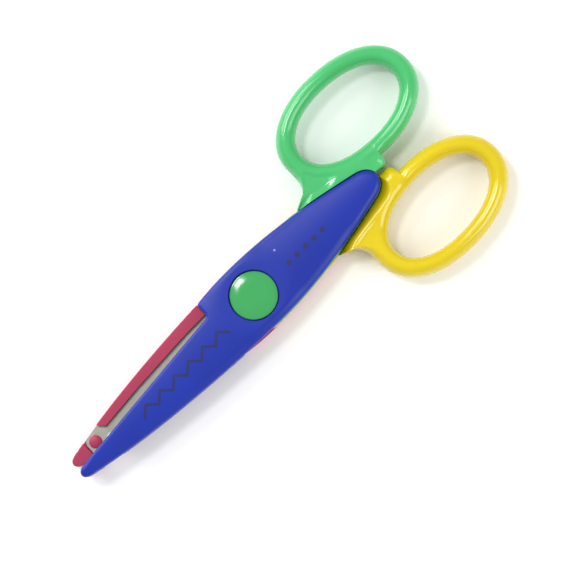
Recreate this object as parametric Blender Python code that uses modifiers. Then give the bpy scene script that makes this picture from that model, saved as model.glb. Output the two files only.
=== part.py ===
"""Decorative edge scissors: paper-craft scissors whose two corrugated steel blades cut a zigzag edge.

The origin is on the pivot axis, on the plane that the closed scissors rest on. +X runs to the blade tip,
+Y to the back half's finger loop, and +Z up through the front half. The two halves are the same mouldings,
turned half a turn about the long axis. Each half is drawn in its own frame, with its origin on the pivot axis
at the mid-plane and its +Z pointing outwards. All sizes are in metres.
"""

import math

import bmesh
import bpy

# Overall sizes.
TIP_X = 0.0638  # pivot to the tip of the covers
TAIL_X = 0.0442  # pivot to the tail of the covers
BODY_THICKNESS = 0.0106
HUB_HALF_WIDTH = 0.00975  # of the handle's arm at the pivot
COVER_INSET = 0.00035  # the arm stands this far proud of its cover
GAP = 0.0003  # between neighbouring pieces

# Finger loops: superellipses, leaning together at the far end.
LOOP_CENTRE_X = -0.0496
LOOP_CENTRE_Y = -0.0167
LOOP_HALF_LENGTH = 0.0215
LOOP_HALF_WIDTH = 0.0143
LOOP_POWER = 2.15
LOOP_LEAN = math.radians(-2.0)
LOOP_THICKNESS = 0.0080
RIM_SIDE = 0.0051
RIM_END = 0.0058
RIM_ROUNDING = 0.0021
WEB_FILLET = 0.0060
WEB_FILLET_END_Y = -0.0086  # where the web's front fillet runs into the body
KNOB_X = -0.04675
KNOB_RADIUS = 0.00175

# Handle arms and covers, measured outwards from the mid-plane.
ARM_INNER = 0.00015
ARM_THICKNESS = 0.0020
ARM_SHOULDER = (-0.0228, -0.0076)  # the arm leaves the body's edge here and runs on inside the web
ARM_IN_WEB = ((-0.0262, -0.0084), (-0.0405, -0.0062))
COVER_ROUNDING = 0.0016
CARRIER_STEP_X = 0.0122
CARRIER_STEP_EASE = 0.0007
EDGE_ROOT = (0.0135, -0.0044)
EDGE_ROOT_EASE = 0.0010
EDGE_TIP_Y = 0.00025
TIP_EASE = 0.0015
RIB_START_X = 0.0125
RIB_END_X = 0.0508
RIB_ROOT_Y = 0.0057
RIB_TIP_Y = 0.00335
RIB_CHAMFER = 0.0015
RIB_BOW = 0.0003

# Blades.
BLADE_THICKNESS = 0.0006
BLADE_END = 0.0580
WAVE_PITCH = 0.0052
WAVE_HEIGHT = 0.0026
WAVE_START = 0.0139
WAVE_HALF_PITCHES = 14
CUT_ROOT_Y = -0.0032
CUT_TIP_Y = -0.00025
BLADE_GAP = 0.0004  # between the two blades, along Z
BLEND = 0.0010  # from the wave to the flat flange
WIDENING = 0.0008  # the blade reaches its full width over this length
TIP_TAPER = 0.0011

# Pivot.
CAP_RADIUS = 0.00625
CAP_RECESS = 0.0013
CAP_CROWN = 0.00035
CAP_FLAT = 0.0022  # radius of the flat middle of the crown, level with the cover
CAP_EDGE = 0.0003
CAP_SKIRT = 0.0008
PIN_RADIUS = 0.0030
SCREW_RADIUS = 0.0016
SCREW_CHAMFER = 0.0004
SLOT_HALF_WIDTH = 0.0005
HEAD_RADIUS = 0.0043
HEAD_THICKNESS = 0.0005
WASHER_RADIUS = 0.0049
WASHER_THICKNESS = 0.0005
STACK_GAP = 0.00015
SPRING_THICKNESS = 0.0002
SPRING_WAVE = 0.0001

# Heat stakes.
STAKE_RADIUS = 0.0009
STAKE_HEAD_RADIUS = 0.0017
STAKE_HEAD_HEIGHT = 0.0006
STAKE_HEAD_TOP = 0.0012  # radius of the head's flattened end
BLADE_STAKES = ((0.0556, 0.0023), (0.0117, 0.0032), (0.0120, -0.0014))
STAKE_HEAD_DEPTH = 0.0001  # the arms' stake heads lie this deep below the arms' inner faces
ARM_STAKES = ((-0.0180, 0.0), (-0.0330, 0.0))

# Worked out from the sizes above.
MID_Z = BODY_THICKNESS / 2
ARM_OUTER = ARM_INNER + ARM_THICKNESS
COVER_HALF_WIDTH = HUB_HALF_WIDTH - COVER_INSET
WAVE = WAVE_HEIGHT / 2
BLADE_LIFT = (BLADE_THICKNESS + BLADE_GAP) / 2
FLANGE_INNER = WAVE + BLADE_LIFT - BLADE_THICKNESS / 2
FLANGE_OUTER = FLANGE_INNER + BLADE_THICKNESS
ARM_SEAT = ARM_INNER + STAKE_HEAD_DEPTH + STAKE_HEAD_HEIGHT + GAP
COVER_INNER = max(ARM_OUTER, FLANGE_OUTER) + GAP
FULL_WIDTH_X = RIB_END_X + RIB_CHAMFER + 2 * GAP  # the blade widens here, past the rib
FAR = 2 * TIP_X  # well clear of the object, for cutters

SMOOTH = "AUTO"
CORNER = "VECTOR"
CURVE_STEPS = 5
LOOP_STEPS = 40
ROUND_SIDES = 32


def clear_scene():
    """Removes whatever the scene holds."""
    for obj in list(bpy.data.objects):
        bpy.data.objects.remove(obj, do_unlink=True)


def new_collection(name):
    """A collection in the scene."""
    made = bpy.data.collections.new(name)
    bpy.context.scene.collection.children.link(made)
    return made


def new_material(name, colour, roughness, metallic):
    """A Principled material."""
    material = bpy.data.materials.new(name)
    material.use_nodes = True
    shader = material.node_tree.nodes["Principled BSDF"]
    shader.inputs["Base Color"].default_value = (*colour, 1.0)
    shader.inputs["Roughness"].default_value = roughness
    shader.inputs["Metallic"].default_value = metallic
    return material


def green_plastic():
    return new_material("green_plastic", (0.060, 0.510, 0.142), 0.22, 0.0)


def yellow_plastic():
    return new_material("yellow_plastic", (0.830, 0.680, 0.035), 0.22, 0.0)


def blue_plastic():
    return new_material("blue_plastic", (0.037, 0.069, 0.480), 0.38, 0.0)


def red_plastic():
    return new_material("red_plastic", (0.520, 0.075, 0.155), 0.38, 0.0)


def stamped_steel():
    return new_material("stamped_steel", (0.430, 0.420, 0.410), 0.35, 1.0)


def plated_steel():
    return new_material("plated_steel", (0.560, 0.550, 0.530), 0.25, 1.0)


def bezier_loop(curve, points):
    """A closed Bezier outline through (x, y, handle) points."""
    spline = curve.splines.new("BEZIER")
    spline.bezier_points.add(len(points) - 1)
    spline.use_cyclic_u = True
    for point, (x, y, handle) in zip(spline.bezier_points, points):
        point.co = (x, y, 0.0)
        point.handle_left_type = handle
        point.handle_right_type = handle


def poly_loop(curve, points):
    """A closed outline of straight runs through (x, y) points."""
    spline = curve.splines.new("POLY")
    spline.points.add(len(points) - 1)
    spline.use_cyclic_u = True
    for point, (x, y) in zip(spline.points, points):
        point.co = (x, y, 0.0, 1.0)


def flat_curve(name, loops, bottom, top, rounding):
    """A filled 2D curve between two heights, its edges rounded by the curve's own bevel."""
    curve = bpy.data.curves.new(name, "CURVE")
    curve.dimensions = "2D"
    curve.fill_mode = "BOTH"
    curve.resolution_u = CURVE_STEPS
    curve.extrude = (top - bottom) / 2 - rounding
    curve.bevel_depth = rounding
    curve.bevel_resolution = 1
    curve.offset = -rounding
    for loop in loops:
        if len(loop[0]) == 3:
            bezier_loop(curve, loop)
        else:
            poly_loop(curve, loop)
    flat = bpy.data.objects.new(name + "_outline", curve)
    flat.location.z = (bottom + top) / 2
    bpy.context.scene.collection.objects.link(flat)
    return flat


def plate(name, loops, bottom, top, group, rounding=0.0):
    """A solid mesh plate between two heights, from its outlines."""
    flat = flat_curve(name, loops, bottom, top, rounding)
    bpy.context.view_layer.update()
    graph = bpy.context.evaluated_depsgraph_get()
    mesh = bpy.data.meshes.new_from_object(flat.evaluated_get(graph))
    shape = bmesh.new()
    shape.from_mesh(mesh)
    bmesh.ops.remove_doubles(shape, verts=shape.verts, dist=1e-7)
    bmesh.ops.recalc_face_normals(shape, faces=shape.faces)
    shape.to_mesh(mesh)
    shape.free()
    made = bpy.data.objects.new(name, mesh)
    made.matrix_world = flat.matrix_world
    bpy.data.objects.remove(flat, do_unlink=True)
    group.objects.link(made)
    return made


def round_top_rim(made, top, width):
    """Rounds the rim of a plate's upper face."""
    shape = bmesh.new()
    shape.from_mesh(made.data)
    bmesh.ops.dissolve_limit(shape, angle_limit=0.01, verts=shape.verts, edges=shape.edges)
    height = top - made.location.z
    rim = [
        edge
        for edge in shape.edges
        if all(abs(vert.co.z - height) < 1e-6 for vert in edge.verts)
        and any(abs(face.normal.z) < 0.5 for face in edge.link_faces)
    ]
    bmesh.ops.bevel(
        shape, geom=rim, affect="EDGES", offset=width, segments=3, profile=0.5, clamp_overlap=True
    )
    shape.to_mesh(made.data)
    shape.free()


def disc(name, radius, bottom, top, group, place=(0.0, 0.0)):
    """A solid cylinder between two heights."""
    mesh = bpy.data.meshes.new(name)
    shape = bmesh.new()
    bmesh.ops.create_cone(
        shape, cap_ends=True, segments=ROUND_SIDES, radius1=radius, radius2=radius, depth=top - bottom
    )
    shape.to_mesh(mesh)
    shape.free()
    made = bpy.data.objects.new(name, mesh)
    made.location = (*place, (bottom + top) / 2)
    group.objects.link(made)
    return made


def turned(name, profile, group, place=(0.0, 0.0), steps=ROUND_SIDES):
    """A solid of revolution from a profile that runs down its outer side, as (radius, height) pairs."""
    mesh = bpy.data.meshes.new(name)
    shape = bmesh.new()
    points = [shape.verts.new((radius, 0.0, height)) for radius, height in profile]
    closed = profile[0][0] > 0.0
    for first, second in zip(points, points[1:] + points[:1] if closed else points[1:]):
        shape.edges.new((first, second))
    shape.to_mesh(mesh)
    shape.free()
    made = bpy.data.objects.new(name, mesh)
    made.location = (*place, 0.0)
    group.objects.link(made)
    screw = made.modifiers.new("turn", "SCREW")
    screw.steps = steps
    screw.render_steps = steps
    screw.use_merge_vertices = True
    screw.merge_threshold = 1e-6
    return made


def as_cutter(tool):
    """Keeps a cutter out of the object."""
    tool.hide_render = True
    tool.display_type = "WIRE"
    return tool


def boolean(target, tool, operation):
    """Adds a Boolean with one tool."""
    modifier = target.modifiers.new(operation.lower() + "_" + tool.name, "BOOLEAN")
    modifier.operation = operation
    modifier.solver = "EXACT"
    modifier.object = as_cutter(tool)


def shade_round(made):
    """Smooth shading with the real edges kept sharp."""
    made.data.shade_smooth()
    made.data.set_sharp_from_angle(angle=math.radians(40))


def superellipse(half_length, half_width, start, end, steps):
    """Points round a leaning superellipse about the loop's centre, from one angle to another."""
    points = []
    for step in range(steps):
        angle = start + (end - start) * step / steps
        along = math.copysign(abs(math.cos(angle)) ** (2 / LOOP_POWER), math.cos(angle)) * half_length
        across = math.copysign(abs(math.sin(angle)) ** (2 / LOOP_POWER), math.sin(angle)) * half_width
        x = LOOP_CENTRE_X + along * math.cos(LOOP_LEAN) - across * math.sin(LOOP_LEAN)
        y = LOOP_CENTRE_Y + along * math.sin(LOOP_LEAN) + across * math.cos(LOOP_LEAN)
        points.append((x, y))
    return points


def arc(centre, radius, start, end, steps):
    """Points along an arc, with both ends."""
    angles = [start + (end - start) * step / steps for step in range(steps + 1)]
    return [(centre[0] + radius * math.cos(a), centre[1] + radius * math.sin(a)) for a in angles]


def tail_edge(grow):
    """The +Y edge of the covers' tail, from the end to the hub, moved out by a distance."""
    shape = ((-1.0, 0.0), (-0.905, 0.422), (-0.634, 0.695), (-0.362, 0.898), (0.0, 1.0))
    end, *rest = [(x * TAIL_X, y * COVER_HALF_WIDTH + grow) for x, y in shape]
    return [(end[0] - grow, 0.0)] + rest


def cover_outline():
    """The whole cover: the symmetric tail and hub, then the blade carrier to the tip."""
    upper = tail_edge(0.0)
    lower = [(x, -y) for x, y in reversed(upper[1:])]
    back = ((0.314, 0.909), (0.627, 0.743), (0.878, 0.495), (0.955, 0.385))
    outline = [(x, y, SMOOTH) for x, y in upper]
    outline += [(x * TIP_X, y * COVER_HALF_WIDTH, SMOOTH) for x, y in back]
    outline += [
        (TIP_X, 0.21 * COVER_HALF_WIDTH, SMOOTH),
        (TIP_X - TIP_EASE, EDGE_TIP_Y, CORNER),
        (*EDGE_ROOT, CORNER),
        (CARRIER_STEP_X, EDGE_ROOT[1] - EDGE_ROOT_EASE, CORNER),
        (CARRIER_STEP_X, -0.855 * COVER_HALF_WIDTH, CORNER),
        (CARRIER_STEP_X - CARRIER_STEP_EASE, -0.92 * COVER_HALF_WIDTH, CORNER),
    ]
    outline += [(x, y, SMOOTH) for x, y in lower]
    return outline


def relief_outline():
    """What is open on the covers' inner side: all but the rib along the back edge and the nose at the tip."""
    nose = BLADE_END + GAP
    return [
        (-FAR, -FAR),
        (nose, -FAR),
        (nose, FAR),
        (RIB_END_X + RIB_CHAMFER, FAR),
        (RIB_END_X + RIB_CHAMFER, RIB_TIP_Y + RIB_CHAMFER),
        (RIB_END_X, RIB_TIP_Y),
        ((RIB_START_X + RIB_END_X) / 2, (RIB_ROOT_Y + RIB_TIP_Y) / 2 + RIB_BOW),
        (RIB_START_X, RIB_ROOT_Y),
        (RIB_START_X, FAR),
        (-FAR, FAR),
    ]


def stake(name, place, plate_inner, group):
    """A peg down through a plate, with the head that was melted over on its inner side."""
    head_top = plate_inner - GAP
    root = COVER_INNER + GAP
    profile = (
        (0.0, root),
        (STAKE_RADIUS, root),
        (STAKE_RADIUS, head_top),
        (STAKE_HEAD_RADIUS, head_top),
        (STAKE_HEAD_RADIUS, head_top - STAKE_HEAD_HEIGHT / 2),
        (STAKE_HEAD_TOP, head_top - STAKE_HEAD_HEIGHT),
        (0.0, head_top - STAKE_HEAD_HEIGHT),
    )
    return turned(name, profile, group, place, steps=12)


def cover(name, group, cutters):
    """The outer cover: shell, blade carrier, rib, nose and stakes in one moulding."""
    made = plate(name, [cover_outline()], -MID_Z, MID_Z, group)
    round_top_rim(made, MID_Z, COVER_ROUNDING)
    relief = plate(name + "_relief", [relief_outline()], -FAR, COVER_INNER, cutters)
    boolean(made, relief, "DIFFERENCE")
    below = plate(name + "_mid_plane", [square(FAR)], -FAR, ARM_INNER, cutters)
    boolean(made, below, "DIFFERENCE")
    recess = disc(name + "_cap_recess", CAP_RADIUS + GAP, MID_Z - CAP_RECESS, MID_Z + GAP, cutters)
    boolean(made, recess, "DIFFERENCE")
    bore = disc(name + "_hub_bore", WASHER_RADIUS + GAP, 0.0, MID_Z, cutters)
    boolean(made, bore, "DIFFERENCE")
    for number, place in enumerate(BLADE_STAKES):
        boolean(made, stake(f"{name}_blade_stake_{number}", place, FLANGE_INNER, cutters), "UNION")
    for number, place in enumerate(ARM_STAKES):
        boolean(made, stake(f"{name}_arm_stake_{number}", place, ARM_SEAT, cutters), "UNION")
    return made


def square(half):
    """A square outline about the axis."""
    return [(-half, -half), (half, -half), (half, half), (-half, half)]


def handle_outline():
    """The finger loop's outer edge, its stop knob, and the web that fills in towards the body."""
    front = LOOP_CENTRE_X + LOOP_HALF_LENGTH
    loop = superellipse(LOOP_HALF_LENGTH, LOOP_HALF_WIDTH, math.radians(4), math.radians(-272), LOOP_STEPS)
    knob = arc((KNOB_X, -GAP / 2 - KNOB_RADIUS), KNOB_RADIUS, math.pi, 0.0, 6)
    fillet_centre = (front + WEB_FILLET, WEB_FILLET_END_Y - WEB_FILLET)
    web = [(fillet_centre[0], knob[-1][1])]
    fillet = arc(fillet_centre, WEB_FILLET, math.radians(90), math.radians(172), 6)
    return loop + knob + web + fillet


def arm_outline():
    """The arm from the web to the hub: one edge follows the cover, the other runs on into the web."""
    upper = tail_edge(COVER_INSET)
    hub = arc((0.0, 0.0), HUB_HALF_WIDTH, math.radians(60), math.radians(-60), 4)
    lower = [(x, -y) for x, y in reversed(upper)]
    outline = [(x, y, SMOOTH) for x, y in upper + hub + lower[:2]]
    outline += [(x, y, CORNER) for x, y in (ARM_SHOULDER, *ARM_IN_WEB)]
    return outline


def tail_clearance():
    """The tail of the covers and arms with room round it, closed across the hub."""
    upper = tail_edge(COVER_INSET + GAP)
    return [(x, y, SMOOTH) for x, y in upper] + [(x, -y, SMOOTH) for x, y in reversed(upper[1:])]


def handle(name, group, cutters):
    """A handle: the full-height finger loop and web, and the half-height arm that carries the hub."""
    hole = superellipse(
        LOOP_HALF_LENGTH - RIM_END, LOOP_HALF_WIDTH - RIM_SIDE, 0.0, -2 * math.pi, LOOP_STEPS
    )
    half = LOOP_THICKNESS / 2
    made = plate(name, [handle_outline(), hole], -half, half, group, RIM_ROUNDING)
    room = plate(name + "_tail_room", [tail_clearance()], -FAR, FAR, cutters)
    boolean(made, room, "DIFFERENCE")
    arm = plate(name + "_arm", [arm_outline()], ARM_INNER, ARM_OUTER, cutters)
    boolean(made, arm, "UNION")
    bore = disc(name + "_pin_hole", PIN_RADIUS + GAP, -FAR, FAR, cutters)
    boolean(made, bore, "DIFFERENCE")
    for number, place in enumerate(ARM_STAKES):
        hole = disc(f"{name}_stake_hole_{number}", STAKE_RADIUS + GAP, -FAR, FAR, cutters, place)
        boolean(made, hole, "DIFFERENCE")
        seat_radius = STAKE_HEAD_RADIUS + GAP
        seat = disc(f"{name}_stake_seat_{number}", seat_radius, -FAR, ARM_SEAT, cutters, place)
        boolean(made, seat, "DIFFERENCE")
    return made


def cut_edge(x):
    """The blade's cutting edge, a straight line."""
    share = (x - EDGE_ROOT[0]) / (BLADE_END - EDGE_ROOT[0])
    return CUT_ROOT_Y + share * (CUT_TIP_Y - CUT_ROOT_Y)


def outer_edge(x):
    """The blade's back edge: inside the rib, then out to the full width past its end."""
    if x > FULL_WIDTH_X:
        share = (x - FULL_WIDTH_X) / (BLADE_END - FULL_WIDTH_X)
        return RIB_TIP_Y + RIB_CHAMFER - TIP_TAPER * share
    share = (x - RIB_START_X) / (RIB_END_X - RIB_START_X)
    return RIB_ROOT_Y + min(share, 1.0) * (RIB_TIP_Y - RIB_ROOT_Y) - GAP


def on_circle(radius, edge):
    """Where an edge y(x) meets a circle about the pivot."""
    y = 0.0
    for _ in range(12):
        y = edge(math.sqrt(radius * radius - y * y))
    return y


def blade(name, first_crest, group, cutters):
    """A stamped plate whose zigzag depends only on the distance from the pivot, so that two can slide past."""
    crests = [first_crest + WAVE_PITCH / 2 * step for step in range(WAVE_HALF_PITCHES + 1)]
    root = HUB_HALF_WIDTH + GAP
    tip_rows = (FULL_WIDTH_X, FULL_WIDTH_X + WIDENING, BLADE_END)
    rows = [root] + crests + [radius for radius in tip_rows if radius > crests[-1] + GAP]
    columns = 6
    mesh = bpy.data.meshes.new(name)
    shape = bmesh.new()
    bmesh.ops.create_grid(shape, x_segments=len(rows) - 1, y_segments=columns - 1, size=0.5)
    for vert in shape.verts:
        row = round((vert.co.x + 0.5) * (len(rows) - 1))
        column = round((vert.co.y + 0.5) * (columns - 1))
        vert.co = blade_point(rows[row], column, row - 1, columns)
    flat = shape.faces[:]
    sides = bmesh.ops.extrude_face_region(shape, geom=flat, use_keep_orig=True)
    top = [item for item in sides["geom"] if isinstance(item, bmesh.types.BMVert)]
    bmesh.ops.translate(shape, verts=top, vec=(0.0, 0.0, BLADE_THICKNESS))
    bmesh.ops.recalc_face_normals(shape, faces=shape.faces)
    shape.to_mesh(mesh)
    shape.free()
    made = bpy.data.objects.new(name, mesh)
    group.objects.link(made)
    for number, place in enumerate(BLADE_STAKES):
        hole = disc(f"{name}_hole_{number}", STAKE_RADIUS + GAP, 0.0, MID_Z, cutters, place)
        boolean(made, hole, "DIFFERENCE")
    return made


def blade_point(radius, column, crest, columns):
    """A point of the plate's inner face. Crests alternate; the flange and both ends lie at the crest height."""
    low = on_circle(radius, cut_edge)
    high = on_circle(radius, outer_edge)
    wave_end = min(-low + GAP / 2, high - BLEND - GAP)
    waved = columns - 3
    if column <= waved:
        y = low + (wave_end - low) * column / waved
    else:
        y = (wave_end + BLEND, high)[column - waved - 1]
    trough = column <= waved and crest % 2 == 1 and 0 < crest < WAVE_HALF_PITCHES
    height = FLANGE_INNER - (WAVE_HEIGHT if trough else 0.0)
    return (math.sqrt(radius * radius - y * y), y, height)


def cap(name, group):
    """A domed cap with a skirt that presses into the hub bore."""
    floor = MID_Z - CAP_RECESS + STACK_GAP
    flat = CAP_FLAT / CAP_RADIUS
    shares = (flat, 0.5, 0.65, 0.8, 0.9, 0.97)
    dome = [(CAP_RADIUS * share, MID_Z - CAP_CROWN * (share**2 - flat**2)) for share in shares]
    side = [
        (CAP_RADIUS, MID_Z - CAP_CROWN - CAP_EDGE),
        (CAP_RADIUS, floor),
        (WASHER_RADIUS, floor),
        (WASHER_RADIUS, floor - CAP_SKIRT),
        (HEAD_RADIUS + STACK_GAP, floor - CAP_SKIRT),
        (HEAD_RADIUS + STACK_GAP, floor),
        (0.0, floor),
    ]
    return turned(name, [(0.0, MID_Z)] + dome + side, group)


def ring(name, inner, outer, bottom, top, group):
    """A flat ring between two heights."""
    profile = ((inner, top), (outer, top), (outer, bottom), (inner, bottom))
    return turned(name, profile, group)


def spring_washer(name, bottom, group):
    """A thin ring bent into three waves."""
    middle = bottom + SPRING_WAVE
    made = ring(
        name, PIN_RADIUS + GAP, HEAD_RADIUS - GAP, middle, middle + SPRING_THICKNESS, group
    )
    bpy.context.view_layer.update()
    graph = bpy.context.evaluated_depsgraph_get()
    mesh = bpy.data.meshes.new_from_object(made.evaluated_get(graph))
    made.modifiers.clear()
    made.data = mesh
    for vert in mesh.vertices:
        vert.co.z += SPRING_WAVE * math.cos(3 * math.atan2(vert.co.y, vert.co.x))
    return made


def sleeve(name, stack_base, tail, group):
    """The flanged sleeve that both halves turn on, bored right through for the screw."""
    bore = SCREW_RADIUS + GAP
    head = stack_base + HEAD_THICKNESS
    profile = ((bore, head), (HEAD_RADIUS, head), (HEAD_RADIUS, stack_base), (PIN_RADIUS, stack_base))
    return turned(name, profile + ((PIN_RADIUS, tail), (bore, tail)), group)


def screw(name, seat, end, group, cutters):
    """The pan-head screw, with a driver slot."""
    profile = (
        (0.0, seat + HEAD_THICKNESS),
        (HEAD_RADIUS, seat + HEAD_THICKNESS),
        (HEAD_RADIUS, seat),
        (SCREW_RADIUS, seat),
        (SCREW_RADIUS, end + SCREW_CHAMFER),
        (SCREW_RADIUS - SCREW_CHAMFER, end),
        (0.0, end),
    )
    made = turned(name, profile, group)
    width = SLOT_HALF_WIDTH
    slot_outline = [(-FAR, -width), (FAR, -width), (FAR, width), (-FAR, width)]
    slot = plate(name + "_slot", [slot_outline], seat + HEAD_THICKNESS / 2, FAR, cutters)
    boolean(made, slot, "DIFFERENCE")
    return made


def half_frame(name, turn, group):
    """The empty that carries one half, on the pivot axis at the mid-plane."""
    frame = bpy.data.objects.new(name, None)
    frame.location = (0.0, 0.0, MID_Z)
    frame.rotation_euler = (turn, 0.0, 0.0)
    group.objects.link(frame)
    return frame


def place_on(frame, pieces, material):
    """Parents pieces to a half's frame and gives each the material."""
    for piece in pieces:
        piece.parent = frame
        piece.data.materials.clear()
        piece.data.materials.append(material)
        shade_round(piece)


def build():
    """Builds both halves and the pivot."""
    clear_scene()
    parts = new_collection("decorative_edge_scissors")
    cutters = new_collection("cutters")
    front = half_frame("front_half", 0.0, parts)
    back = half_frame("back_half", math.pi, parts)
    washer_base = ARM_OUTER + STACK_GAP
    stack_base = washer_base + WASHER_THICKNESS + STACK_GAP
    screw_seat = stack_base + SPRING_THICKNESS + 2 * SPRING_WAVE + STACK_GAP
    washer = (PIN_RADIUS + GAP, WASHER_RADIUS, washer_base, washer_base + WASHER_THICKNESS)
    steel = stamped_steel()
    plated = plated_steel()
    first_half = (
        (handle("green_handle", parts, cutters), green_plastic()),
        (cover("front_cover", parts, cutters), blue_plastic()),
        (blade("front_blade", WAVE_START, parts, cutters), steel),
        (cap("front_pivot_cap", parts), bpy.data.materials["green_plastic"]),
        (ring("front_washer", *washer, parts), plated),
        (spring_washer("spring_washer", stack_base, parts), plated),
        (screw("pivot_screw", screw_seat, -stack_base - GAP, parts, cutters), plated),
    )
    second_half = (
        (handle("yellow_handle", parts, cutters), yellow_plastic()),
        (cover("back_cover", parts, cutters), red_plastic()),
        (blade("back_blade", WAVE_START + WAVE_PITCH / 2, parts, cutters), steel),
        (cap("back_pivot_cap", parts), bpy.data.materials["yellow_plastic"]),
        (ring("back_washer", *washer, parts), plated),
        (sleeve("pivot_sleeve", stack_base, STACK_GAP - screw_seat, parts), plated),
    )
    for frame, half in ((front, first_half), (back, second_half)):
        for piece, material in half:
            place_on(frame, [piece], material)
    for tool in cutters.objects:
        tool.parent = back if tool.name.startswith(("yellow", "back")) else front


build()
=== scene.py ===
"""Decorative edge scissors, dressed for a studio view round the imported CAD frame.

Each half is drawn in its own frame: the origin on the pivot axis at the mid-plane, +X to the blade tip,
the finger loop on the -Y side and +Z outwards through its own cover. The back half is the same shapes
turned half a turn about the long axis.
"""

import bmesh
import bpy
import numpy as np
from bpy.props import FloatProperty, FloatVectorProperty, IntProperty, PointerProperty
from mathutils import Matrix, Vector


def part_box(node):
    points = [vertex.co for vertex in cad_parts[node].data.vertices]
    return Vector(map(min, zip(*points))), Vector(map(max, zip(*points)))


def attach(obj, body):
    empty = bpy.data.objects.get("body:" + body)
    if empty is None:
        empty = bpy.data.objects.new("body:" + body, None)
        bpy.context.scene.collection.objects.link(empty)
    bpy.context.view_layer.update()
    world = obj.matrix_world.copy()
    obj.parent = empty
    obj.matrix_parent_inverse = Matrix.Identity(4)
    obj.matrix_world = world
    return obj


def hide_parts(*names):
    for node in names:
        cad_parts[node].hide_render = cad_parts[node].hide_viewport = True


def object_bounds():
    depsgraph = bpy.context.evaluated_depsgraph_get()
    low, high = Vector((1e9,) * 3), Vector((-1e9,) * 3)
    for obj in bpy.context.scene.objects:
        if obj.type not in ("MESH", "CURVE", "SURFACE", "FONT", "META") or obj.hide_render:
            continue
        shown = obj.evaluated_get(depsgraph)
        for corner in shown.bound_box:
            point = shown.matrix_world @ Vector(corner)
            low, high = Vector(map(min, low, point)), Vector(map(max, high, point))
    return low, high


bl_info = {
    "name": "Decorative Edge Scissors",
    "version": (1, 0, 0),
    "blender": (4, 5, 0),
    "location": "View3D > Sidebar > Scissors",
    "description": "Builds zigzag craft scissors with moulded handles and covers and corrugated blades",
    "category": "Add Mesh",
}

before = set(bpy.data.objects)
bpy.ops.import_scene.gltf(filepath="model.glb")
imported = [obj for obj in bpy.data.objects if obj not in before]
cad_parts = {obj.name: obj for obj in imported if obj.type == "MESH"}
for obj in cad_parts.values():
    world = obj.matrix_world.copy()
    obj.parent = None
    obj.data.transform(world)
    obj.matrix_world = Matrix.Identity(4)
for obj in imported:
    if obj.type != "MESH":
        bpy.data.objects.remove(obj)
CAD_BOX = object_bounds()
MID_Z = (CAD_BOX[0][2] + CAD_BOX[1][2]) / 2
COVER_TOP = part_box("front_cover")[1][2] - MID_Z
HUB_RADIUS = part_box("green_handle")[1][0]
CAP_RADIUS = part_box("front_pivot_cap")[1][0]
TIP_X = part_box("front_cover")[1][0]
TAIL_X = -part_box("front_cover")[0][0]
LOOP_HEIGHT = (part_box("green_handle")[1][2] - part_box("green_handle")[0][2]) / 2
ARM_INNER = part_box("front_cover")[0][2] - MID_Z
BLADE_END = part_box("front_blade")[1][0]
FLANGE_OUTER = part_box("front_blade")[1][2] - MID_Z
HALVES = {"front": "front_half", "back": "back_half"}
BLADE_STAKES = ((0.0556, 0.0023), (0.0117, 0.0032), (0.0120, -0.0014))
ARM_STAKES = ((-0.0180, 0.0), (-0.0330, 0.0))
BEYOND = 0.001  # how far a cutter runs on past what it cuts


def linear(hex_colour):
    """An sRGB hex colour as linear red, green and blue."""
    srgb = np.array([int(hex_colour[i : i + 2], 16) / 255 for i in (1, 3, 5)])
    return tuple(np.where(srgb <= 0.04045, srgb / 12.92, ((srgb + 0.055) / 1.055) ** 2.4))


def length(name, description, default):
    """A length property in metres."""
    return FloatProperty(name=name, description=description, default=default, unit="LENGTH", precision=5)


def colour(name, description, hex_colour):
    """A colour property from an sRGB hex value."""
    return FloatVectorProperty(
        name=name, description=description, default=linear(hex_colour), subtype="COLOR", size=3
    )


class LoopSizes(bpy.types.PropertyGroup):
    """Sizes of a finger loop and its web."""

    centre_x: length("Centre X", "Along the body from the pivot to the loop's centre", -0.0499)
    centre_y: length("Centre Y", "Across from the pivot to the loop's centre", -0.0167)
    half_length: length("Half length", "Outer half length of the loop", 0.02114)
    half_width: length("Half width", "Outer half width of the loop", 0.0137)
    rim_side: length("Side rim", "Width of the rim along the sides", 0.0047)
    rim_end: length("End rim", "Width of the rim at the ends", 0.0053)
    power: FloatProperty(name="Squareness", description="Superellipse power of the loop", default=2.15)
    lean: FloatProperty(
        name="Lean", description="Turn of the loop in plan", default=np.radians(-2.0), subtype="ANGLE"
    )
    fillet: length("Fillet", "Radius where the loop's front runs into the body", 0.0060)
    fillet_y: length("Fillet centre Y", "Across from the pivot to the fillet's centre", -0.01403)
    knob_x: length("Knob X", "Place of the stop knob along the body", -0.04675)
    knob_radius: length("Knob radius", "Radius of the stop knob", 0.00175)
    ridge: length("Ridge", "From the body's edge to the ridge on the web's far side", 0.0031)
    shoulder: length("Shoulder", "Height of the web's far side where it meets the body", 0.0017)


class CoverSizes(bpy.types.PropertyGroup):
    """Sizes of a cover and its blade carrier."""

    half_width: length("Half width", "Half width at the pivot", 0.00935)
    floor: length("Floor", "Height of the underside above the mid-plane", 0.00245)
    back_rounding: length("Back rounding", "Rounding along the back edge", 0.0023)
    edge_rounding: length("Edge rounding", "Rounding along the cutting side", 0.0007)
    recess_depth: length("Recess depth", "Depth of the pivot cap's recess", 0.0013)
    recess_gap: length("Recess gap", "Gap round the pivot cap", 0.0003)
    bore: length("Bore", "Radius of the hub bore", 0.0052)
    crown: length("Crown", "Fall of the top from its middle to its edges", 0.0004)
    rib_root: length("Rib root", "Rib's inner face at the hub end", 0.0057)
    rib_tip: length("Rib tip", "Rib's inner face at the tip end", 0.00335)
    rib_start: length("Rib start", "Where the rib starts", 0.0125)
    rib_end: length("Rib end", "Where the rib ends", 0.0508)


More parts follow.
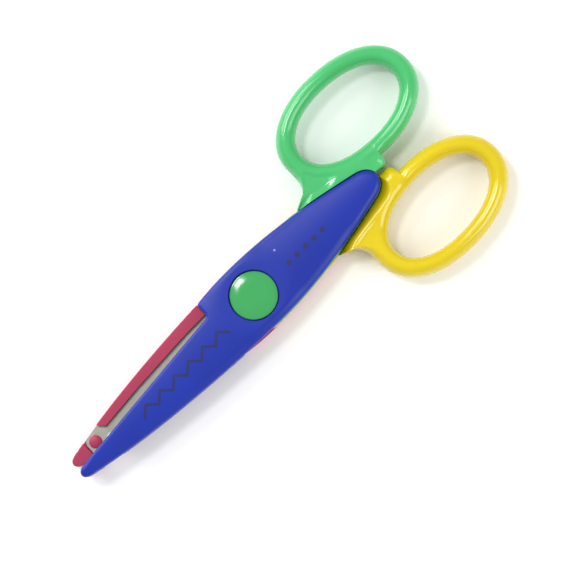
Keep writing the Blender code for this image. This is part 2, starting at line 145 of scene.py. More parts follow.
class BladeSizes(bpy.types.PropertyGroup):
    """Sizes of a corrugated blade."""

    thickness: length("Thickness", "Thickness of the strip", 0.0006)
    pitch: length("Pitch", "Pitch of the zigzag", 0.0052)
    height: length("Height", "Height of the zigzag from crest to trough", 0.0026)
    start: length("Start", "Distance from the pivot to the first crest", 0.0139)
    fold: length("Fold", "Half width of the rounded fold at each crest", 0.00022)
    cut_root: length("Cut root", "Cutting edge across the body at the hub end", -0.0032)
    cut_tip: length("Cut tip", "Cutting edge across the body at the tip", -0.00025)
    blend: length("Blend", "From the end of the zigzag to the flat flange", 0.0006)
    periods: IntProperty(name="Periods", description="Whole zigzags along the blade", default=7)


class PivotSizes(bpy.types.PropertyGroup):
    """Sizes of the pivot cap and the melted stakes."""

    crown: length("Crown", "Fall of the cap's dome from its flat middle to its edge", 0.00048)
    flat: length("Flat", "Radius of the cap's flat middle", 0.0022)
    thickness: length("Thickness", "Thickness of the cap at its middle", 0.00115)
    stake_radius: length("Stake radius", "Radius of a stake's head", 0.0017)
    stake_height: length("Stake height", "Height of a stake's head", 0.0006)
    stake_hole: length("Stake hole", "Radius of the hole round a stake", 0.0012)
    pin_hole: length("Pin hole", "Radius of the hole in a handle for the pivot", 0.0033)


class Finishes(bpy.types.PropertyGroup):
    """Colours of the mouldings, the print and the steel; the front cap's green is the handle's green
    painted darker as shade.
    """

    green: colour("Green", "Handle of the front half", "#44B468")
    # The front cap is the handle's green plastic painted darker: painted shade for its flat top, which
    # catches less light than the curved handle.
    cap_green: colour("Cap green", "Pivot cap of the front half", "#389C54")
    yellow: colour("Yellow", "Handle and cap of the back half", "#D3BC05")
    blue: colour("Blue", "Front cover", "#152C97")
    red: colour("Red", "Back cover", "#B03757")
    ink: colour("Ink", "Printed zigzag and dots", "#23284F")
    steel: colour("Steel", "Stamped blades", "#A6A49A")
    plated: colour("Plated steel", "Pivot fasteners", "#D4D3CF")


class StudioSettings(bpy.types.PropertyGroup):
    """Camera and light."""

    lens: FloatProperty(name="Lens", description="Focal length in millimetres", default=200.0)
    view_width: length("View width", "Width of the view at the object", 0.1465)
    lean: FloatProperty(
        name="Lean", description="Camera's lean off the vertical", default=np.radians(4.4), subtype="ANGLE"
    )
    turn: FloatProperty(
        name="Turn",
        description="Angle in the view from its right side to the blade tip",
        default=np.radians(224.67),
        subtype="ANGLE",
    )
    floor: colour("Floor", "Pale studio floor", "#FFFFFF")


# ---------------------------------------------------------------- curves in plan


def bezier(ends, samples):
    """A cubic Bezier through its four points, without its last: sum of binomials times the points."""
    t = np.linspace(0.0, 1.0, samples, endpoint=False)[:, None]
    p0, p1, p2, p3 = (np.array(end, float) for end in ends)
    return (1 - t) ** 3 * p0 + 3 * (1 - t) ** 2 * t * p1 + 3 * (1 - t) * t**2 * p2 + t**3 * p3


def chain(start, runs, samples):
    """Cubic Beziers joined end to end; a run of one point is straight."""
    points = []
    for run in runs:
        if len(run) == 1:
            end = np.array(run[0], float)
            third = (end - np.array(start)) / 3
            run = (np.array(start) + third, end - third, end)
        points.append(bezier((start, *run), samples))
        start = run[-1]
    return np.vstack(points + [np.array([start], float)])


def evenly(points, samples):
    """The same polyline at points evenly spaced by length, with both ends."""
    along = np.concatenate([[0.0], np.cumsum(np.linalg.norm(np.diff(points, axis=0), axis=1))])
    places = np.linspace(0.0, along[-1], samples)
    return np.stack([np.interp(places, along, points[:, axis]) for axis in (0, 1)], axis=1)


def arc(centre, radius, start, end, samples):
    """Centre plus radius times the cosine and sine of an even run of angles."""
    angle = np.linspace(start, end, samples)
    return np.array(centre) + radius * np.stack([np.cos(angle), np.sin(angle)], axis=1)


def outward(points):
    """Unit normals of a counter-clockwise closed outline: the tangent turned a quarter turn clockwise."""
    tangent = np.roll(points, -1, axis=0) - np.roll(points, 1, axis=0)
    tangent /= np.linalg.norm(tangent, axis=1, keepdims=True)
    return np.stack([tangent[:, 1], -tangent[:, 0]], axis=1)


def smoothed(values, reach):
    """A closed run of values averaged with a raised-cosine window, so that it changes gently."""
    window = 1 + np.cos(np.linspace(-np.pi, np.pi, 2 * reach + 1))
    window /= window.sum()
    padded = np.concatenate([values[-reach:], values, values[:reach]])
    return np.convolve(padded, window, mode="valid")


def smooth_step(value):
    """0 below 0, 1 above 1, and 3t^2 - 2t^3 between."""
    t = np.clip(value, 0.0, 1.0)
    return t * t * (3 - 2 * t)


def ramp(value, start, end):
    """Smooth step from 0 at start to 1 at end."""
    return smooth_step((value - start) / (end - start))


def tail_runs(sizes):
    """The +Y edge from the pivot round to the middle of the tail's end, as Bezier runs."""
    width = sizes.half_width
    bend = (-0.914 * TAIL_X, 0.412 * width)
    return (
        ((-0.34 * TAIL_X, width), (-0.634 * TAIL_X, 0.716 * width), bend),
        ((-0.964 * TAIL_X, 0.35 * width), (-TAIL_X, 0.2 * width), (-TAIL_X, 0.0)),
    )


def mirrored(runs, start):
    """The same runs reflected across the long axis and walked backwards, with their new start."""
    stops = [start] + [run[-1] for run in runs]
    back = []
    for index in range(len(runs) - 1, -1, -1):
        first, second, _ = runs[index]
        back.append(tuple((x, -y) for x, y in (second, first, stops[index])))
    return tuple(back)


def cover_outline(sizes, samples):
    """Counter-clockwise from the tip: back edge, tail, hub, step and the straight cutting side."""
    width = sizes.half_width
    start = (TIP_X, 0.0019)
    back_start = (TIP_X - 0.0033, 0.00375)
    hub_end = (0.0112, -0.935 * width)
    step_x, step_y = 0.0122, -0.0056
    cut_start, cut_end = (0.0134, -0.0044), (TIP_X - 0.0022, 0.0002)
    tail = tail_runs(sizes)
    runs = (
        ((TIP_X, 0.0030), (TIP_X - 0.0012, 0.0035), back_start),
        ((TIP_X - 0.0213, 0.0077), (0.0120, width + 0.00005), (0.0, width)),
        *tail,
        *mirrored(tail, (0.0, width)),
        ((0.0045, -width), (0.0080, -0.98 * width), hub_end),
        ((0.0118, -0.925 * width), (step_x, -0.90 * width), (step_x, -0.86 * width)),
        ((step_x, step_y),),
        ((step_x, -0.0049), (0.0126, -0.0045), cut_start),
        (cut_end,),
        ((TIP_X - 0.0009, 0.0003), (TIP_X, 0.0010), start),
    )
    return evenly(chain(start, runs, 60), samples + 1)[:-1]


def loop_curve(sizes, rim_end, rim_side, angle):
    """A leaning superellipse, inset by the rim: |cos|^(2/p) and |sin|^(2/p) with their signs."""
    power = 2 / sizes.power
    along = np.sign(np.cos(angle)) * np.abs(np.cos(angle)) ** power * (sizes.half_length - rim_end)
    across = np.sign(np.sin(angle)) * np.abs(np.sin(angle)) ** power * (sizes.half_width - rim_side)
    turn = np.array([[np.cos(sizes.lean), np.sin(sizes.lean)], [-np.sin(sizes.lean), np.cos(sizes.lean)]])
    return np.stack([along, across], axis=1) @ turn + (sizes.centre_x, sizes.centre_y)


# ---------------------------------------------------------------- meshes


def mesh_object(name, verts, faces):
    """A mesh object at the origin, welded where its points meet and facing out."""
    mesh = bpy.data.meshes.new(name)
    mesh.from_pydata(verts, [], faces)
    shape = bmesh.new()
    shape.from_mesh(mesh)
    bmesh.ops.remove_doubles(shape, verts=shape.verts, dist=1e-8)
    bmesh.ops.recalc_face_normals(shape, faces=shape.faces)
    shape.to_mesh(mesh)
    shape.free()
    piece = bpy.data.objects.new(name, mesh)
    bpy.context.scene.collection.objects.link(piece)
    return piece


def grid_object(name, points, wrap_rows, cap_rows=False):
    """A surface over a grid of points[row, column, 3] whose columns close on themselves."""
    rows, columns, _ = points.shape
    row = np.arange(rows if wrap_rows else rows - 1)[:, None]
    column = np.arange(columns)[None, :]
    after = (row + 1) % rows
    beside = (column + 1) % columns
    here, below = row * columns, after * columns
    corners = (here + column, below + column, below + beside, here + beside)
    faces = np.stack(corners, axis=-1).reshape(-1, 4).tolist()
    if cap_rows:
        faces += [list(range(columns)), list(range((rows - 1) * columns, rows * columns))]
    return mesh_object(name, points.reshape(-1, 3), faces)


def prism_object(name, outline, bottom, top, easing=0.0):
    """An outline carried from one height to another, its rims eased by a small inset at 45 degrees."""
    inset = outline - outward(outline) * easing
    levels = ((inset, bottom), (outline, bottom + easing), (outline, top - easing), (inset, top))
    if easing == 0.0:
        levels = ((outline, bottom), (outline, top))
    points = np.stack([np.column_stack([plan, np.full(len(plan), height)]) for plan, height in levels])
    return grid_object(name, points, False, cap_rows=True)


def turned_object(name, profile, centre=(0.0, 0.0), sides=96):
    """A profile of (radius, height) points turned about a vertical axis at the centre."""
    angle = np.linspace(0.0, 2 * np.pi, sides, endpoint=False)
    radius, height = np.array(profile, float).T
    x = centre[0] + radius[:, None] * np.cos(angle)
    y = centre[1] + radius[:, None] * np.sin(angle)
    points = np.stack([x, y, np.broadcast_to(height[:, None], x.shape)], axis=-1)
    return grid_object(name, points, False)


def carve(piece, tool, operation):
    """Cuts or joins another solid, which is then removed."""
    modifier = piece.modifiers.new(operation.lower(), "BOOLEAN")
    modifier.operation = operation
    modifier.solver = "EXACT"
    modifier.object = tool
    bpy.context.view_layer.update()
    graph = bpy.context.evaluated_depsgraph_get()
    mesh = bpy.data.meshes.new_from_object(piece.evaluated_get(graph))
    piece.modifiers.clear()
    piece.data = mesh
    bpy.data.objects.remove(tool, do_unlink=True)


def seat_on_half(piece, half, sharp_degrees=32.0):
    """Carries a piece from its half's own frame to its place, shades it and lets it ride on its body."""
    place = Matrix.Translation((0.0, 0.0, MID_Z))
    if half == "back":
        place = place @ Matrix.Rotation(np.pi, 4, "X")
    piece.data.transform(place)
    piece.data.shade_smooth()
    piece.data.set_sharp_from_angle(angle=np.radians(sharp_degrees))
    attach(piece, HALVES[half])
    return piece


def wear(piece, material):
    """Puts one material on a piece."""
    piece.data.materials.clear()
    piece.data.materials.append(material)


# ---------------------------------------------------------------- materials


def add_node(tree, kind, settings=None, links=None):
    """Adds a node, sets its attributes or input values, and links its inputs."""
    node = tree.nodes.new(kind)
    for key, value in (settings or {}).items():
        if isinstance(key, str) and hasattr(node, key):
            setattr(node, key, value)
        else:
            node.inputs[key].default_value = value
    for key, output in (links or {}).items():
        tree.links.new(output, node.inputs[key])
    return node


def started(name):
    """A material with only its shader and output, and its object coordinates."""
    material = bpy.data.materials.new(name)
    material.use_nodes = True
    tree = material.node_tree
    shader = tree.nodes["Principled BSDF"]
    coordinates = add_node(tree, "ShaderNodeTexCoord").outputs["Object"]
    return material, tree, shader, coordinates


def repeats(millimetres):
    """A pattern's scale, in repeats a metre, from the real size of one feature."""
    return 1000.0 / millimetres


def shade_of(base, factor):
    """A colour made lighter or darker, with an alpha of 1."""
    return (*(min(1.0, channel * factor) for channel in base), 1.0)


def polished_abs(name, base):
    """ABS from a polished mould: a clean gloss, with a slow drift of colour from the pigment, faint ripples
    from uneven cooling and fine handling marks that break up the highlights."""
    material, tree, shader, coordinates = started(name)
    drift = add_node(
        tree, "ShaderNodeTexNoise", {"Scale": repeats(22.0), "Detail": 2.0}, {"Vector": coordinates}
    )
    tint = add_node(tree, "ShaderNodeValToRGB", {}, {"Fac": drift.outputs["Fac"]})
    for element, place, factor in zip(tint.color_ramp.elements, (0.3, 0.7), (0.94, 1.05)):
        element.position = place
        element.color = shade_of(base, factor)
    tree.links.new(tint.outputs["Color"], shader.inputs["Base Color"])
    rubbed = add_node(
        tree, "ShaderNodeTexNoise", {"Scale": repeats(1.1), "Detail": 4.0}, {"Vector": coordinates}
    )
    gloss = add_node(
        tree,
        "ShaderNodeMapRange",
        {"From Min": 0.35, "From Max": 0.75, "To Min": 0.11, "To Max": 0.18},
        {"Value": rubbed.outputs["Fac"]},
    )
    tree.links.new(gloss.outputs["Result"], shader.inputs["Roughness"])
    ripple = add_node(
        tree, "ShaderNodeTexNoise", {"Scale": repeats(3.8), "Detail": 2.0}, {"Vector": coordinates}
    )
    bump = add_node(
        tree, "ShaderNodeBump", {"Strength": 0.12, "Distance": 0.00012}, {"Height": ripple.outputs["Fac"]}
    )
    tree.links.new(bump.outputs["Normal"], shader.inputs["Normal"])
    shader.inputs["IOR"].default_value = 1.52
    shader.inputs["Subsurface Weight"].default_value = 0.06
    shader.inputs["Subsurface Radius"].default_value = (0.6, 0.6, 0.6)
    shader.inputs["Subsurface Scale"].default_value = 0.0012
    return material


def spark_textured_abs(name, base):
    """ABS from a spark-eroded mould: an even colour with a soft, broad sheen, because the fine pits scatter
    the light and shade each other."""
    material, tree, shader, coordinates = started(name)
    drift = add_node(
        tree, "ShaderNodeTexNoise", {"Scale": repeats(17.0), "Detail": 3.0}, {"Vector": coordinates}
    )
    tint = add_node(tree, "ShaderNodeValToRGB", {}, {"Fac": drift.outputs["Fac"]})
    for element, place, factor in zip(tint.color_ramp.elements, (0.3, 0.7), (0.93, 1.06)):
        element.position = place
        element.color = shade_of(base, factor)
    tree.links.new(tint.outputs["Color"], shader.inputs["Base Color"])
    # The real pits are about 0.05 mm across; they are drawn at 0.22 mm, so that they show.
    pits = add_node(
        tree, "ShaderNodeTexNoise", {"Scale": repeats(0.22), "Detail": 3.0}, {"Vector": coordinates}
    )
    bump = add_node(
        tree, "ShaderNodeBump", {"Strength": 0.25, "Distance": 0.00004}, {"Height": pits.outputs["Fac"]}
    )
    tree.links.new(bump.outputs["Normal"], shader.inputs["Normal"])
    gloss = add_node(
        tree,
        "ShaderNodeMapRange",
        {"From Min": 0.3, "From Max": 0.7, "To Min": 0.31, "To Max": 0.42},
        {"Value": pits.outputs["Fac"]},
    )
    tree.links.new(gloss.outputs["Result"], shader.inputs["Roughness"])
    shader.inputs["IOR"].default_value = 1.50
    shader.inputs["Specular IOR Level"].default_value = 0.3
    return material


def printed_abs(name, base):
    """Spark-textured ABS with pad-printed ink on the cover's top: a zigzag line and a row of dots, worn
    thin in places, and the pale scar of the moulding gate.

    The zigzag is a triangle wave of x on a slightly climbing line. The dots are circles repeated along x.
    """
    material = spark_textured_abs(name, base)
    tree = material.node_tree
    shader = tree.nodes["Principled BSDF"]
    surface = shader.inputs["Base Color"].links[0].from_socket
    coordinates = add_node(tree, "ShaderNodeTexCoord").outputs["Object"]
    split = add_node(tree, "ShaderNodeSeparateXYZ", {}, {"Vector": coordinates})
    pitch, swing, stroke = 0.0052, 0.00244, 0.00047
    line_x, line_y, climb, periods = 0.0108, 0.00242, 0.0176, 6
    dot_pitch, dot_radius, dots_x, dots_y, dots = 0.0030, 0.00075, -0.0258, 0.0004, 5
    gate_x, gate_y, gate_radius = -0.0119, -0.0045, 0.0003
    print_floor = MID_Z + COVER_TOP - 0.0006
    steps = (
        ("along", "SUBTRACT", "x", line_x),
        ("folded", "PINGPONG", "along", pitch / 2),
        ("fall", "MULTIPLY", "folded", 2 * swing / pitch),
        ("rise", "MULTIPLY_ADD", "along", climb, line_y),
        ("line", "SUBTRACT", "rise", "fall"),
        ("off_line", "COMPARE", "y", "line", stroke),
        ("after_start", "GREATER_THAN", "x", line_x),
        ("before_end", "LESS_THAN", "x", line_x + periods * pitch),
        ("started", "MULTIPLY", "off_line", "after_start"),
        ("zigzag", "MULTIPLY", "started", "before_end"),
        ("past_first", "SUBTRACT", "x", dots_x),
        ("wrapped", "MODULO", "past_first", dot_pitch),
        ("dot_x", "SUBTRACT", "wrapped", dot_pitch / 2),
        ("dot_y", "SUBTRACT", "y", dots_y),
        ("dot_x2", "MULTIPLY", "dot_x", "dot_x"),
        ("dot_r2", "MULTIPLY_ADD", "dot_y", "dot_y", "dot_x2"),
        ("spot", "LESS_THAN", "dot_r2", dot_radius**2),
        ("in_row", "COMPARE", "past_first", dots * dot_pitch / 2, dots * dot_pitch / 2),
        ("row", "MULTIPLY", "spot", "in_row"),
        ("mark", "MAXIMUM", "zigzag", "row"),
        ("on_top", "GREATER_THAN", "z", print_floor),
        ("inked", "MULTIPLY", "mark", "on_top"),
        ("scar_x", "SUBTRACT", "x", gate_x),
        ("scar_y", "SUBTRACT", "y", gate_y),
        ("scar_x2", "MULTIPLY", "scar_x", "scar_x"),
        ("scar_r2", "MULTIPLY_ADD", "scar_y", "scar_y", "scar_x2"),
        ("scar", "LESS_THAN", "scar_r2", gate_radius**2),
    )
    values = {"x": split.outputs["X"], "y": split.outputs["Y"], "z": split.outputs["Z"]}
    for result, operation, *inputs in steps:
        settings = {place: value for place, value in enumerate(inputs) if not isinstance(value, str)}
        links = {place: values[value] for place, value in enumerate(inputs) if isinstance(value, str)}
        settings["operation"] = operation
        values[result] = add_node(tree, "ShaderNodeMath", settings, links).outputs[0]
    worn = add_node(
        tree, "ShaderNodeTexNoise", {"Scale": repeats(0.6), "Detail": 4.0}, {"Vector": coordinates}
    )
    cover_power = add_node(
        tree,
        "ShaderNodeMapRange",
        {"From Min": 0.25, "From Max": 0.55, "To Min": 0.55, "To Max": 0.95},
        {"Value": worn.outputs["Fac"]},
    )
    amount = add_node(
        tree, "ShaderNodeMath", {"operation": "MULTIPLY"}, {0: values["inked"], 1: cover_power.outputs[0]}
    )
    ink, scar_colour = bpy.context.scene.scissors_finishes.ink, linear("#8186C3")
    for factor, layer in ((amount.outputs[0], ink), (values["scar"], scar_colour)):
        mix = add_node(tree, "ShaderNodeMix", {"data_type": "RGBA"}, {"Factor": factor, 6: surface})
        mix.inputs[7].default_value = (*layer, 1.0)
        surface = mix.outputs[2]
    tree.links.new(surface, shader.inputs["Base Color"])
    return material


def rolled_steel(name, base, sizes=(3.3, 0.2, 0.2)):
    """Cold-rolled stainless strip, stamped and folded: a soft metal sheen with fine rolling lines along it.

    The sizes are a line's length, width and depth in millimetres.
    """
    material, tree, shader, coordinates = started(name)
    # Rolling lines are about 0.02 mm apart; they are drawn at 0.2 mm, so that they show.
    scale = tuple(repeats(size) for size in sizes)
    stretch = add_node(tree, "ShaderNodeMapping", {"Scale": scale}, {"Vector": coordinates})
    lines = add_node(
        tree, "ShaderNodeTexNoise", {"Scale": 1.0, "Detail": 5.0}, {"Vector": stretch.outputs[0]}
    )
    tint = add_node(tree, "ShaderNodeValToRGB", {}, {"Fac": lines.outputs["Fac"]})
    for element, place, factor in zip(tint.color_ramp.elements, (0.25, 0.75), (0.80, 1.10)):
        element.position = place
        element.color = shade_of(base, factor)
    tree.links.new(tint.outputs["Color"], shader.inputs["Base Color"])
    gloss = add_node(
        tree,
        "ShaderNodeMapRange",
        {"From Min": 0.3, "From Max": 0.7, "To Min": 0.30, "To Max": 0.45},
        {"Value": lines.outputs["Fac"]},
    )
    tree.links.new(gloss.outputs["Result"], shader.inputs["Roughness"])
    bump = add_node(
        tree, "ShaderNodeBump", {"Strength": 0.15, "Distance": 0.00003}, {"Height": lines.outputs["Fac"]}
    )
    tree.links.new(bump.outputs["Normal"], shader.inputs["Normal"])
    shader.inputs["Metallic"].default_value = 1.0
    return material


def zinc_plated_steel(name, base):
    """Zinc-plated turned steel: the same soft sheen, clouded evenly in every direction by the plating."""
    return rolled_steel(name, base, (0.33, 0.33, 0.33))


def matt_paper(name, base):
    """Uncoated background paper: matt and even, with a faint fibre."""
    material, tree, shader, coordinates = started(name)
    fibre = add_node(
        tree, "ShaderNodeTexNoise", {"Scale": repeats(0.67), "Detail": 3.0}, {"Vector": coordinates}
    )
    bump = add_node(
        tree, "ShaderNodeBump", {"Strength": 0.05, "Distance": 0.00002}, {"Height": fibre.outputs["Fac"]}
    )
    tree.links.new(bump.outputs["Normal"], shader.inputs["Normal"])
    shader.inputs["Base Color"].default_value = (*base, 1.0)
    shader.inputs["Roughness"].default_value = 0.9
    return material


MAKERS = {
    "green": (polished_abs, "polished_mould_green_abs"),
    # The front cap's material is the handle's green painted darker as shade.
    "cap_green": (polished_abs, "polished_mould_cap_green_abs"),
    "yellow": (polished_abs, "polished_mould_yellow_abs"),
    "blue": (printed_abs, "spark_textured_printed_blue_abs"),
    "red": (spark_textured_abs, "spark_textured_red_abs"),
    "steel": (rolled_steel, "cold_rolled_stainless_steel"),
    "plated": (zinc_plated_steel, "zinc_plated_turned_steel"),
}
MADE = {}


def material_for(role):
    """The material of a role, made once from the finish colour of that name."""
    if role not in MADE:
        make, name = MAKERS[role]
        MADE[role] = make(name, getattr(bpy.context.scene.scissors_finishes, role))
    return MADE[role]


# ---------------------------------------------------------------- pieces


def tail_edge(cover, samples):
    """The tail's +Y edge at even points, and its outward normals."""
    tail = evenly(chain((0.0, cover.half_width), tail_runs(cover), 80), samples)
    tangent = np.gradient(tail, axis=0)
    tangent /= np.linalg.norm(tangent, axis=1, keepdims=True)
    return tail, np.stack([tangent[:, 1], -tangent[:, 0]], axis=1)


def web_edge(cover, samples, close, wide):
    """The body's edge beside the web: the cover's tail, mirrored to -Y and moved out by a clearance that
    grows from close at the tail to wide at the front."""
    web_front, beside_axis = -0.0227, 0.0004
    room_start, room_end = -0.029, -0.023
    tail, normals = tail_edge(cover, 400)
    room = close + (wide - close) * ramp(tail[:, 0], room_start, room_end)
    moved = tail + normals * room[:, None]
    keep = (moved[:, 1] > beside_axis) & (moved[:, 0] < web_front)
    edge = moved[keep][::-1] * (1.0, -1.0)
    return evenly(edge, samples)


def loop_and_web(name, sizes, cover):
    """The loop and web as one closed tube: sections run from the outer outline across to the finger hole.

    Across a section the height rises from the mid-plane as a quarter ellipse from each side, so the rim is
    an oval. On the web the own side stays flat up to the body's edge, and the far side climbs to a ridge
    and falls to a low shoulder there. The four stretches are the free rim, the knob, the body's edge and
    the front fillet; each has a count of sections, a turn round the hole in degrees and a share of web.
    """
    counts = (300, 28, 90, 44)
    turns = ((4, -272), (-273, -281), (-282, -334), (-335, -355))
    shares = (0.0, 0.85, 1.0, 0.25)
    knob_turn, fillet_turn = (178, 64), (94.5, 170)
    far_room, own_room = (0.00018, 0.0005), (0.00006, 0.00006)
    half_gap, edge_reach, rim_swell = 0.00015, 0.0003, 0.0004
    web_dip, ridge_fall, tip_fall = 0.085, 0.10, 0.42
    rim_run, dip_run, settle_run, ridge_run = 0.0012, 0.0022, 0.004, 0.002
    narrow_web, wide_web = 0.0058, 0.0088
    tip_start, tip_end = -0.0268, -0.0228

    front = sizes.centre_x + sizes.half_length
    rim = loop_curve(sizes, 0.0, 0.0, np.radians(np.linspace(*turns[0], counts[0])))
    knob_centre = (sizes.knob_x, -half_gap - sizes.knob_radius)
    knob = arc(knob_centre, sizes.knob_radius, *np.radians(knob_turn), counts[1])
    far_edge = web_edge(cover, counts[2], *far_room)
    own_edge = web_edge(cover, counts[2], *own_room)
    fillet_centre = (front + sizes.fillet, sizes.fillet_y)
    fillet = arc(fillet_centre, sizes.fillet, *np.radians(fillet_turn), counts[3])
    outer = np.vstack([rim, knob, far_edge, fillet])
    own_outer = np.vstack([rim, knob, own_edge, fillet])
    angle = np.concatenate([np.linspace(*turn, count) for turn, count in zip(turns, counts)])
    hole = loop_curve(sizes, sizes.rim_end, sizes.rim_side, np.radians(angle))
    span = np.linalg.norm(hole - outer, axis=1)

    on_web = np.concatenate([np.full(count, share) for count, share in zip(counts, shares)])
    on_web = smoothed(on_web, 8)
    half = np.minimum(span / 2, sizes.rim_side / 2 + rim_swell)
    reach = half * (1 - on_web) + edge_reach * on_web
    quarter = np.linspace(0.0, np.pi / 2, 15)
    rise = (1 - np.cos(quarter))[None, :]
    near = reach[:, None] * rise
    far = span[:, None] - half[:, None] * rise[:, ::-1]
    middle = near[:, -1:] + (far[:, :1] - near[:, -1:]) * np.linspace(0.0, 1.0, 28)[None, 1:-1]
    place = np.hstack([near, middle, far])
    height = np.hstack([
        np.broadcast_to(np.sin(quarter), near.shape),
        np.ones(middle.shape),
        np.broadcast_to(np.sin(quarter)[::-1], far.shape),
    ])

    past_rim = ramp(span[:, None] - place - half[:, None], 0.0, rim_run)
    wide = ramp(span[:, None], narrow_web, wide_web)
    fall_away = np.clip((place - edge_reach) / dip_run, 0.0, 1.0)
    dip = 1 - web_dip * wide * past_rim * fall_away
    tip = ramp(outer[:, 0], tip_start, tip_end) * (np.arange(len(outer)) > counts[0])
    settle = 1 - tip_fall * tip[:, None] * (1 - ramp(place, 0.0, settle_run))
    own = LOOP_HEIGHT * height * dip * settle
    low = sizes.shoulder / LOOP_HEIGHT
    climb = low + (1 - low) * ramp(place, 0.0, sizes.ridge)
    slope = 1 - ridge_fall * wide * ramp(place, sizes.ridge, sizes.ridge + ridge_run)
    other = LOOP_HEIGHT * height * (1 + on_web[:, None] * (climb * slope - 1)) * settle

    across = (place / span[:, None])[..., None]
    top = np.dstack([own_outer[:, None] * (1 - across) + hole[:, None] * across, own])
    bottom = np.dstack([outer[:, None] * (1 - across) + hole[:, None] * across, -other])[:, ::-1][:, 1:-1]
    return grid_object(name, np.concatenate([top, bottom], axis=1), True)


def arm_outline(cover):
    """The arm in plan: the hub's arc, the body's far edge, and an edge that runs on inside the web."""
    proud_at_tail, proud_at_hub = 0.00006, 0.00012
    into_web, tip_wedge = 0.0014, 0.00022
    proud_run, front_run, tail_run = (-0.027, -0.021), (-0.0232, -0.0257), (-0.0432, -0.0412)
    wedge_rise, wedge_fall = (-0.0245, -0.0230), (-0.0222, -0.0162)
    tail, normals = tail_edge(cover, 160)
    proud = proud_at_tail + (proud_at_hub - proud_at_tail) * ramp(tail[:, 0], *proud_run)
    far = tail + normals * proud[:, None]
    near = far[::-1] * (1.0, -1.0)
    inside = ramp(near[:, 0], *front_run) * ramp(near[:, 0], *tail_run)
    wedge = ramp(near[:, 0], *wedge_rise) * (1 - ramp(near[:, 0], *wedge_fall))
    near[:, 1] -= into_web * inside + tip_wedge * wedge
    hub = arc((0.0, 0.0), cover.half_width + proud_at_hub, np.radians(-89), np.radians(89), 64)
    return np.vstack([far[1:], near[1:-1], hub])


def drill(piece, steps, place=(0.0, 0.0), sides=96):
    """Cuts a round hole from (radius, from height, to height) steps, each meeting the next."""
    profile = [(0.0, steps[0][1])]
    for radius, start, end in steps:
        profile += [(radius, start), (radius, end)]
    profile.append((0.0, steps[-1][2]))
    carve(piece, turned_object("drill", profile, place, sides), "DIFFERENCE")


def handle(name, half, role):
    """A handle: loop, web and arm joined, with the pivot's hole and the arm's stake holes and seats."""
    scene = bpy.context.scene
    pivot = scene.scissors_pivot
    piece = loop_and_web(name + "_moulding", scene.scissors_loop, scene.scissors_cover)
    washer_room, edge_ease = 0.00015, 0.00012
    seat_room, seat_depth = 0.0003, 0.0010
    arm_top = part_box("front_washer")[0][2] - MID_Z - washer_room
    arm = prism_object("arm", arm_outline(scene.scissors_cover), ARM_INNER, arm_top, edge_ease)
    carve(piece, arm, "UNION")
    above, below = arm_top + BEYOND, -BEYOND
    drill(piece, [(pivot.pin_hole, above, below)])
    seat_radius = pivot.stake_radius + seat_room
    seat_top = ARM_INNER + seat_depth
    for place in ARM_STAKES:
        steps = [(pivot.stake_hole, above, seat_top), (seat_radius, seat_top, below)]
        drill(piece, steps, place, 48)
    seat_on_half(piece, half)
    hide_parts(name)
    wear(piece, material_for(role))
    return piece


def rib_face(cover):
    """The rib's inner face in plan, from its start to its end."""
    middle = ((cover.rib_start + cover.rib_end) / 2, (cover.rib_root + cover.rib_tip) / 2 + 0.0003)
    runs = (
        ((cover.rib_start + 0.0002, cover.rib_root), (0.0150, cover.rib_root), (0.0180, 0.00565)),
        ((0.0240, 0.0055), middle, (0.0380, 0.00455)),
        ((0.0430, 0.00405), (0.0480, 0.00360), (cover.rib_end, cover.rib_tip)),
    )
    return chain((cover.rib_start, cover.rib_root + 0.0001), runs, 16)


def relief_outline(cover):
    """What is open on a cover's inner side: all but the rib along its back edge and the nose at its tip."""
    far, nose_gap, chamfer, lead = 0.1, 0.0003, 0.0015, 0.0025
    nose = BLADE_END + nose_gap
    rib = rib_face(cover)
    return np.array([
        (-far, -far),
        (nose, -far),
        (nose, far),
        (cover.rib_end + chamfer + lead, far),
        (cover.rib_end + chamfer, cover.rib_tip + chamfer),
        *rib[::-1],
        (cover.rib_start, far),
        (-far, far),
    ])


def rim_rounding(outline, cover):
    """How far the top's rounding reaches in along the outline: wide at the back, narrow at the edge."""
    x, y = outline.T
    hub_rounding, tip_rounding, rib_end_rounding, tail_rounding = 0.0012, 0.0011, 0.0016, 0.0014
    tail_end, cut_start, rib_end, tip_start, overlap = -0.030, 0.0105, 0.0520, 0.0590, 0.0001
    cutting_side, back_side = 0.0008, 0.001
    rounding = np.where(y > 0, cover.back_rounding, hub_rounding)
    rounding = np.where((x > cut_start) & (y < cutting_side), cover.edge_rounding, rounding)
    rounding = np.where(x > tip_start, tip_rounding, rounding)
    by_rib_end = (x > rib_end) & (x < tip_start + overlap) & (y > back_side)
    rounding = np.where(by_rib_end, rib_end_rounding, rounding)
    return smoothed(np.where((x < tail_end) & (y > 0), tail_rounding, rounding), 10)[:, None]


